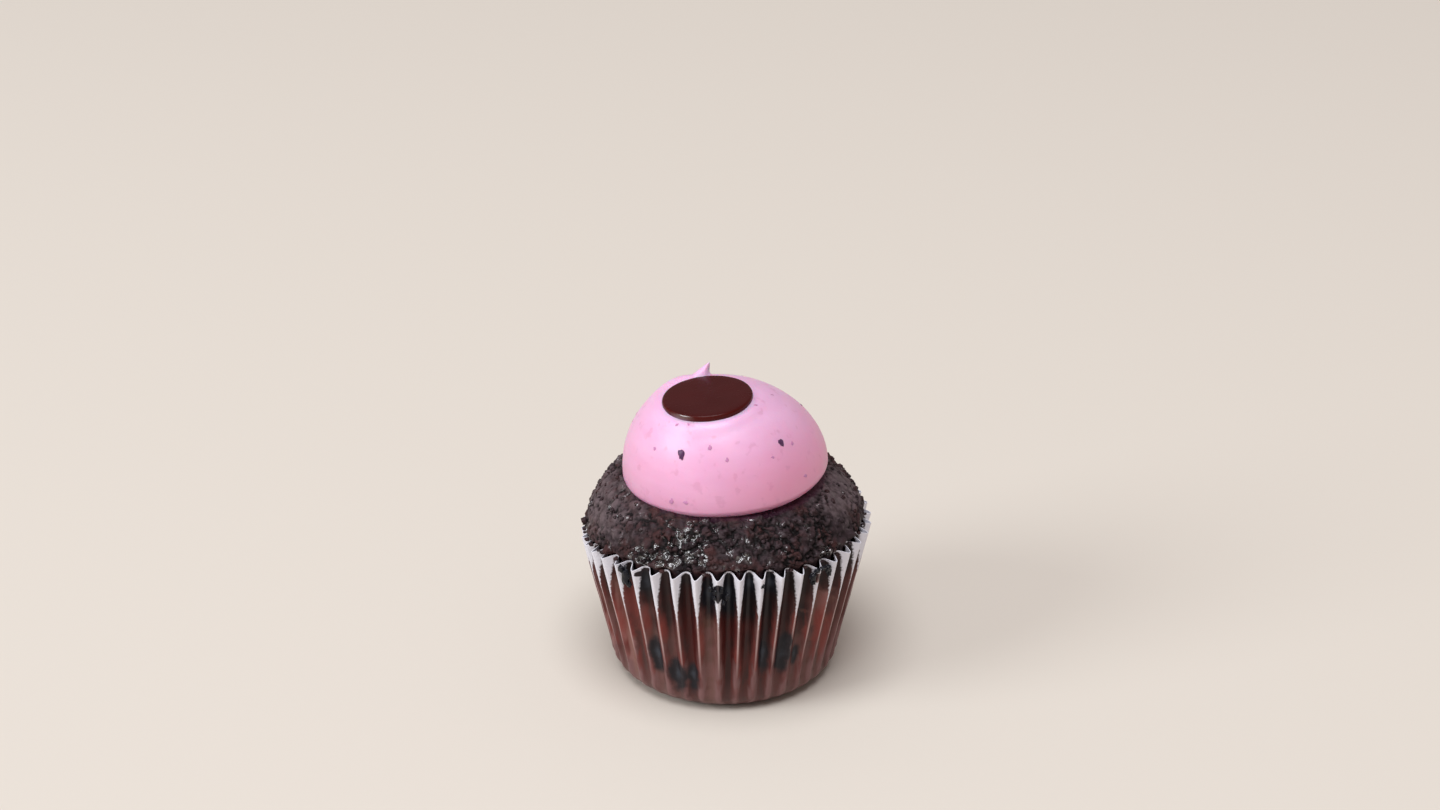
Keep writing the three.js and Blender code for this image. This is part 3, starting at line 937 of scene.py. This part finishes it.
start_fresh()
disc_middle = DISC_TOP - DISC_TURN @ Vector((0, 0, DISC_THICKNESS / 2))
bpy.ops.mesh.primitive_cylinder_add(
    vertices=128, radius=DISC_RADIUS * MM, depth=DISC_THICKNESS * MM, location=disc_middle * MM,
    rotation=DISC_TURN.to_euler())
disc = bpy.context.object
disc.name = "disc_chocolate"
bpy.ops.object.mode_set(mode="EDIT")
pick("edges", lambda edge: len(edge.link_faces) == 2 and edge.calc_face_angle() > SHARP_EDGE)
bpy.ops.mesh.bevel(offset=DISC_EDGE * MM, segments=5, affect="EDGES")
pick("faces", lambda face: len(face.verts) > 4)
for _ in range(DISC_RINGS):
    bpy.ops.mesh.inset(thickness=(DISC_RADIUS - DISC_EDGE) / (DISC_RINGS + 1) * MM)
bpy.ops.mesh.poke()
face_outwards()
bpy.ops.object.transform_apply(location=True, rotation=True, scale=True)
relief(disc, "CLOUDS", *DISC_SWELL, middle=1)
smooth(disc)

# %% [markdown]
# Tempered dark chocolate is a deep, warm brown with a satin shine. A faint bloom of cocoa butter
# breaks the shine up, at about a millimetre. The rounded rim, where it faces sideways, is painted a
# redder brown than the top, as painted shade on its wall, and its front left is the glossiest part
# of the disc, which is a coat over the chocolate there.

# %% Dark chocolate
def dark_chocolate():
    chocolate = new_material("dark_chocolate")
    place = add(chocolate, "TexCoord")
    spot = place.outputs["Object"]
    axes = add(chocolate, "SeparateXYZ", {0: spot})
    upwards = add(chocolate, "SeparateXYZ", {0: place.outputs["Normal"]}).outputs["Z"]
    bloom = add(chocolate, "TexNoise", {"Vector": spot, "Scale": per(1.4), "Detail": 4})
    cloud = add(chocolate, "TexNoise", {"Vector": spot, "Scale": per(6), "Detail": 2})
    # Painted shade: the rim, where it faces sideways, is a redder brown than the top
    colour = lay_coats(
        chocolate, "#3c1010",
        (cloud, 0, 1, 1, "#451414"),
        (upwards, 0.95, 0.7, 1, "#4a120e"))
    gloss = 1
    for mask, begin, full in [
            (upwards, 0.95, 0.7), (axes.outputs["Y"], -0.0105, -0.0125),
            (axes.outputs["X"], -0.0065, -0.009)]:
        gloss = add(chocolate, "MapRange", {
            "Value": mask, "From Min": begin, "From Max": full, "To Max": gloss})
    roughness = add(chocolate, "MapRange", {
        "Value": bloom, "From Min": 0.3, "From Max": 0.7, "To Min": 0.2, "To Max": 0.3})
    bump = add(chocolate, "Bump", {"Height": bloom, "Strength": 0.12, "Distance": 0.05 * MM})
    surface = add(chocolate, "BsdfPrincipled", {
        "Base Color": colour, "Roughness": roughness, "Normal": bump, "IOR": 1.5,
        "Specular IOR Level": 0.14, "Coat Weight": gloss, "Coat Roughness": 0.2,
        "Coat IOR": 2.0})
    add(chocolate, "OutputMaterial", {"Surface": surface})
    return chocolate


hand_over(disc, dark_chocolate(), "chocolate_disc", "chocolate_disc")

# %% [markdown]
# Bits of berry skin went into the buttercream with the juice. Each is a soft crumb of skin half
# sunk in it: two dark ones show from a step away, and smaller pink and purple ones all round. One
# fleck is modelled from a small sphere, then copied, turned and sized for each place.

# %% Scatter the flecks of skin
# Dark flecks at the front, each by its share of a turn, its level and its radius
DARK_FLECKS = [(-0.068, 0.56, 1.0), (0.129, 0.527, 0.75)]
PINK_FLECKS = [
    (-0.010, 0.632, 0.45), (0.017, 0.515, 0.4), (-0.084, 0.085, 0.55), (-0.060, 0.095, 0.5),
    (-0.129, 0.553, 0.35), (0.150, 0.473, 0.4), (-0.090, 0.780, 0.35), (-0.058, 0.797, 0.3),
    (0.169, 0.843, 0.35), (0.143, 0.135, 0.45), (0.004, -0.167, 0.4), (0.097, 0.443, 0.35),
]
BACK_FLECKS = 22
LUMP_GRAIN = 1.3


def lump(name, detail, unevenness, seed):
    """A small uneven stone of radius 1 mm, to copy."""
    start_fresh()
    bpy.ops.mesh.primitive_ico_sphere_add(subdivisions=detail, radius=MM)
    stone = bpy.context.object
    stone.name = name
    away = Vector((seed, 2 * seed, 3 * seed))
    knead(stone, lambda corner: corner * (1 + unevenness * noise.noise(corner * LUMP_GRAIN + away)))
    return stone


def scatter(stone, name, places):
    """Copies a stone to each (point, normal, sizes, turn), and joins the copies to one piece."""
    copies = []
    for point, normal, sizes, turn in places:
        copy = stone.copy()
        copy.data = stone.data.copy()
        bpy.context.collection.objects.link(copy)
        stand = normal.to_track_quat("Z", "Y").to_matrix() @ Matrix.Rotation(turn, 3, "Z")
        sized = stand @ Matrix.Diagonal(sizes)
        copy.data.transform(Matrix.Translation(point) @ sized.to_4x4())
        copies.append(copy)
    bpy.data.objects.remove(stone)
    start_fresh()
    for copy in copies:
        copy.select_set(True)
    bpy.context.view_layer.objects.active = copies[0]
    bpy.ops.object.join()
    piece = bpy.context.object
    piece.name = name
    smooth(piece)
    return piece


def on_frosting(share, level, radius, chance):
    """A place for a fleck on the finished frosting, flat against it and turned at random."""
    _, point, normal, _ = buttercream.closest_point_on_mesh(frosting_point(share, level) * MM)
    sizes = Vector((radius * 1.1, radius * chance.uniform(0.55, 0.9), radius * 0.3))
    return point, normal, sizes, chance.uniform(0, math.pi)


def back_flecks(count, largest, chance):
    """Places round the sides and the back, which the front flecks leave free."""
    places = []
    for i in range(count):
        share = 0.25 + 0.5 * (i + chance.random()) / count
        level = chance.uniform(0.05, 0.8)
        radius = largest * chance.uniform(0.6, 1)
        places.append(on_frosting(share, level, radius, chance))
    return places


fleck_chance = random.Random(11)
dark_places = [on_frosting(*fleck, fleck_chance) for fleck in DARK_FLECKS]
dark_places += back_flecks(BACK_FLECKS // 4, 0.55, fleck_chance)
dark_flecks = scatter(lump("dark_fleck", 3, 0.7, 8), "skin_flecks", dark_places)
pink_places = [on_frosting(*fleck, fleck_chance) for fleck in PINK_FLECKS]
pink_places += back_flecks(BACK_FLECKS, 0.45, fleck_chance)
pink_flecks = scatter(lump("pink_fleck", 3, 0.7, 5), "fruit_flecks", pink_places)


def berry_skin(name, dark, light):
    """Wet berry skin: a deep colour that is mottled at half a millimetre, and glossy."""
    skin = new_material(name)
    spot = add(skin, "TexCoord").outputs["Object"]
    mottle = add(skin, "TexNoise", {"Vector": spot, "Scale": per(0.5), "Detail": 3})
    colour = add(skin, "MixRGB", {"Fac": mottle, "Color1": dark, "Color2": light})
    bump = add(skin, "Bump", {"Height": mottle, "Strength": 0.3, "Distance": 0.1 * MM})
    surface = add(skin, "BsdfPrincipled", {
        "Base Color": colour, "Roughness": 0.35, "Normal": bump, "IOR": 1.4})
    add(skin, "OutputMaterial", {"Surface": surface})
    return skin


hand_over(dark_flecks, berry_skin("dark_berry_skin", "#3d1f3d", "#6f4670"), "frosting")
hand_over(pink_flecks, berry_skin("pink_berry_skin", "#bd7aa8", "#d394bf"), "frosting")

# %% [markdown]
# A few whole berries burst at the rim while the cake was baking, ran down over the paper and set
# there as wet, nearly black lumps. They are the same stone again, larger, and stretched downwards.

# %% Stick the burst fruit to the paper
# Each by its angle and height, then half its width, half its height and half its thickness
FRUIT_BITS = [
    (-41.6, 35.4, 1.0, 2.3, 0.6), (-43.4, 37.0, 0.8, 0.9, 0.5), (-40.4, 33.4, 0.6, 0.9, 0.4),
    (35.6, 36.5, 0.8, 1.0, 0.6), (36.4, 34.9, 0.6, 0.8, 0.5), (42.8, 37.3, 0.9, 0.9, 0.6),
    (44.2, 35.9, 0.6, 1.1, 0.5), (40.4, 38.0, 1.0, 0.5, 0.5), (37.4, 37.8, 0.8, 0.6, 0.5),
    (-5.6, 36.9, 0.45, 0.7, 0.3), (-3.6, 36.1, 0.5, 0.6, 0.3), (-1.2, 36.6, 0.4, 0.9, 0.3),
    (-3.8, 34.4, 0.4, 0.6, 0.3), (1.0, 34.8, 0.45, 1.0, 0.3), (-0.4, 33.0, 0.35, 0.6, 0.25),
    (14.4, 37.2, 0.5, 0.6, 0.35),
]
BACK_CLUSTERS = [(118, 35.5), (171, 35.8), (-127, 35.3)]
BITS_IN_CLUSTER = 5
SUNK_INTO_PAPER = 0.25


def on_paper_rim(angle, height, half_width, half_height, thickness):
    outwards = around(angle / 360, 1, 0)
    point = outwards * (cone_radius(height) - SUNK_INTO_PAPER) + Vector((0, 0, height))
    return point * MM, outwards, Vector((half_width, half_height, thickness)), 0


fruit_chance = random.Random(23)
fruit_places = [on_paper_rim(*bit) for bit in FRUIT_BITS]
for angle, height in BACK_CLUSTERS:
    for _ in range(BITS_IN_CLUSTER):
        fruit_places.append(on_paper_rim(
            angle + fruit_chance.uniform(-3.5, 3.5), height + fruit_chance.uniform(-2.2, 1.2),
            fruit_chance.uniform(0.5, 0.9), fruit_chance.uniform(0.7, 1.4), 0.4))
baked_fruit = scatter(lump("fruit_bit", 3, 0.7, 4), "baked_fruit", fruit_places)


def burst_fruit():
    """Cooked fruit: a blue black with a wet gloss."""
    fruit = new_material("burst_fruit")
    spot = add(fruit, "TexCoord").outputs["Object"]
    mottle = add(fruit, "TexNoise", {"Vector": spot, "Scale": per(0.8), "Detail": 3})
    colour = add(fruit, "MixRGB", {"Fac": mottle, "Color1": "#09090c", "Color2": "#1f2029"})
    bump = add(fruit, "Bump", {"Height": mottle, "Strength": 0.6, "Distance": 0.3 * MM})
    surface = add(fruit, "BsdfPrincipled", {
        "Base Color": colour, "Roughness": 0.2, "Normal": bump, "IOR": 1.42,
        "Specular IOR Level": 0.3})
    add(fruit, "OutputMaterial", {"Surface": surface})
    return fruit


hand_over(baked_fruit, burst_fruit(), "cake")

# %% [markdown]
# Small crumbs have broken loose on the dome and lie in its hollows. They are what makes its
# outline look soft and torn instead of moulded. More of them have rolled down to the rim, where
# they lie over the flutes, and one hangs out over the paper on the far left.

# %% Scatter loose crumbs over the dome
CRUMBS = 420
RIM_CRUMBS = 90
LEFT_CRUMB = around(-88 / 360, 32.2, 36.4)
UP = Vector((0, 0, 1))


def crumb_places(count, chance):
    places = []
    for _ in range(count):
        target = crumb_on_dome(chance.random(), chance.uniform(0.02, 0.9)) * MM
        _, point, normal, _ = cake.closest_point_on_mesh(target)
        size = chance.uniform(0.2, 0.65)
        sizes = Vector((size, size * chance.uniform(0.6, 1), size * chance.uniform(0.5, 0.9)))
        places.append((point, normal, sizes, chance.uniform(0, math.pi)))
    return places


def rim_crumb_places(count, chance):
    """Tries this many places along the rim, and keeps those that are over a flute."""
    places = []
    for _ in range(count):
        share = chance.random()
        if crest(share) < 0.35:
            point = around(drift(share), cone_radius(RIM_HEIGHT) - 2, rim_height(share) + 0.3)
            size = chance.uniform(0.25, 0.6)
            places.append((point * MM, UP, Vector((size, size, size * 0.7)), share))
    return places


crumbs_at = crumb_places(CRUMBS, random.Random(5))
crumbs_at += rim_crumb_places(RIM_CRUMBS, rim_chance)
crumbs_at.append((LEFT_CRUMB * MM, UP, Vector((0.7, 0.8, 0.9)), 1))
crumbs = scatter(lump("crumb", 2, 0.7, 9), "loose_crumbs", crumbs_at)
# The crumb's finish looks for how far each corner is raised, and these are all halfway
paint(crumbs, "raised", [0.55] * len(crumbs.data.vertices))
hand_over(crumbs, crumb_finish, "cake")

# %% [markdown]
# The floor is a wide, pale, matt sheet. It is stage, not part of the cupcake.

# %% Floor
start_fresh()
bpy.ops.mesh.primitive_plane_add(size=6)
floor = bpy.context.object
floor.name = "floor"
matt_sheet = new_material("pale_matt_sheet")
surface = add(matt_sheet, "BsdfPrincipled", {
    "Base Color": "#ddd6cb", "Roughness": 0.9, "Specular IOR Level": 0.1})
add(matt_sheet, "OutputMaterial", {"Surface": surface})
floor.data.materials.append(matt_sheet)

# %% [markdown]
# A wide, soft light hangs above the front and shapes the dome. A smaller one stands low on the
# left and draws a long, faint shadow to the right. A third is small and weak, and is there for its
# glints on the frosting, the wet crumb and the rim of the disc. The rest of the light comes evenly
# from a pale, slightly pink room, which keeps the shaded side of the frosting warm. The camera
# looks down on it all through a long lens.

# %% Light and camera
LIGHT_DISTANCE = 3.2
ROOM_LIGHT = 0.28
ROOM_COLOUR = (1, 0.86, 0.83, 1)
CAMERA_PLACE = Vector((-1.04, -526.59, 322.35))
CAMERA_ELEVATION = 26


def soft_light(name, azimuth, elevation, size, power, colour):
    """A round light that looks at the cupcake. Its azimuth goes from the front by the right."""
    azimuth = math.radians(azimuth)
    elevation = math.radians(elevation)
    flat = Vector((math.sin(azimuth), -math.cos(azimuth), 0)) * math.cos(elevation)
    way = flat + Vector((0, 0, math.sin(elevation)))
    bpy.ops.object.light_add(type="AREA", location=way * LIGHT_DISTANCE)
    light = bpy.context.object
    light.name = name
    light.rotation_euler = way.to_track_quat("Z", "Y").to_euler()
    light.data.shape = "DISK"
    light.data.size = size
    light.data.energy = power
    light.data.color = colour


soft_light("overhead_light", -10, 73, 2.4, 83, (0.93, 0.94, 0.98))
soft_light("side_light", -66, 28, 1.5, 47, (0.93, 0.97, 1))
soft_light("window_light", -20, 52, 0.14, 1.0, (1, 1, 1))

room = bpy.data.worlds.new("pale_room")
bpy.context.scene.world = room
room.use_nodes = True
sky = room.node_tree.nodes["Background"]
sky.inputs["Color"].default_value = ROOM_COLOUR
sky.inputs["Strength"].default_value = ROOM_LIGHT
bpy.context.scene.view_settings.view_transform = "Standard"

bpy.ops.object.camera_add(
    location=CAMERA_PLACE * MM, rotation=(math.radians(90 - CAMERA_ELEVATION), 0, 0))
camera = bpy.context.object
camera.data.lens = 65
camera.data.sensor_width = 36
bpy.context.scene.camera = camera
print(f"camera: {CAMERA_PLACE.length:.0f} mm away, {CAMERA_ELEVATION} degrees up")
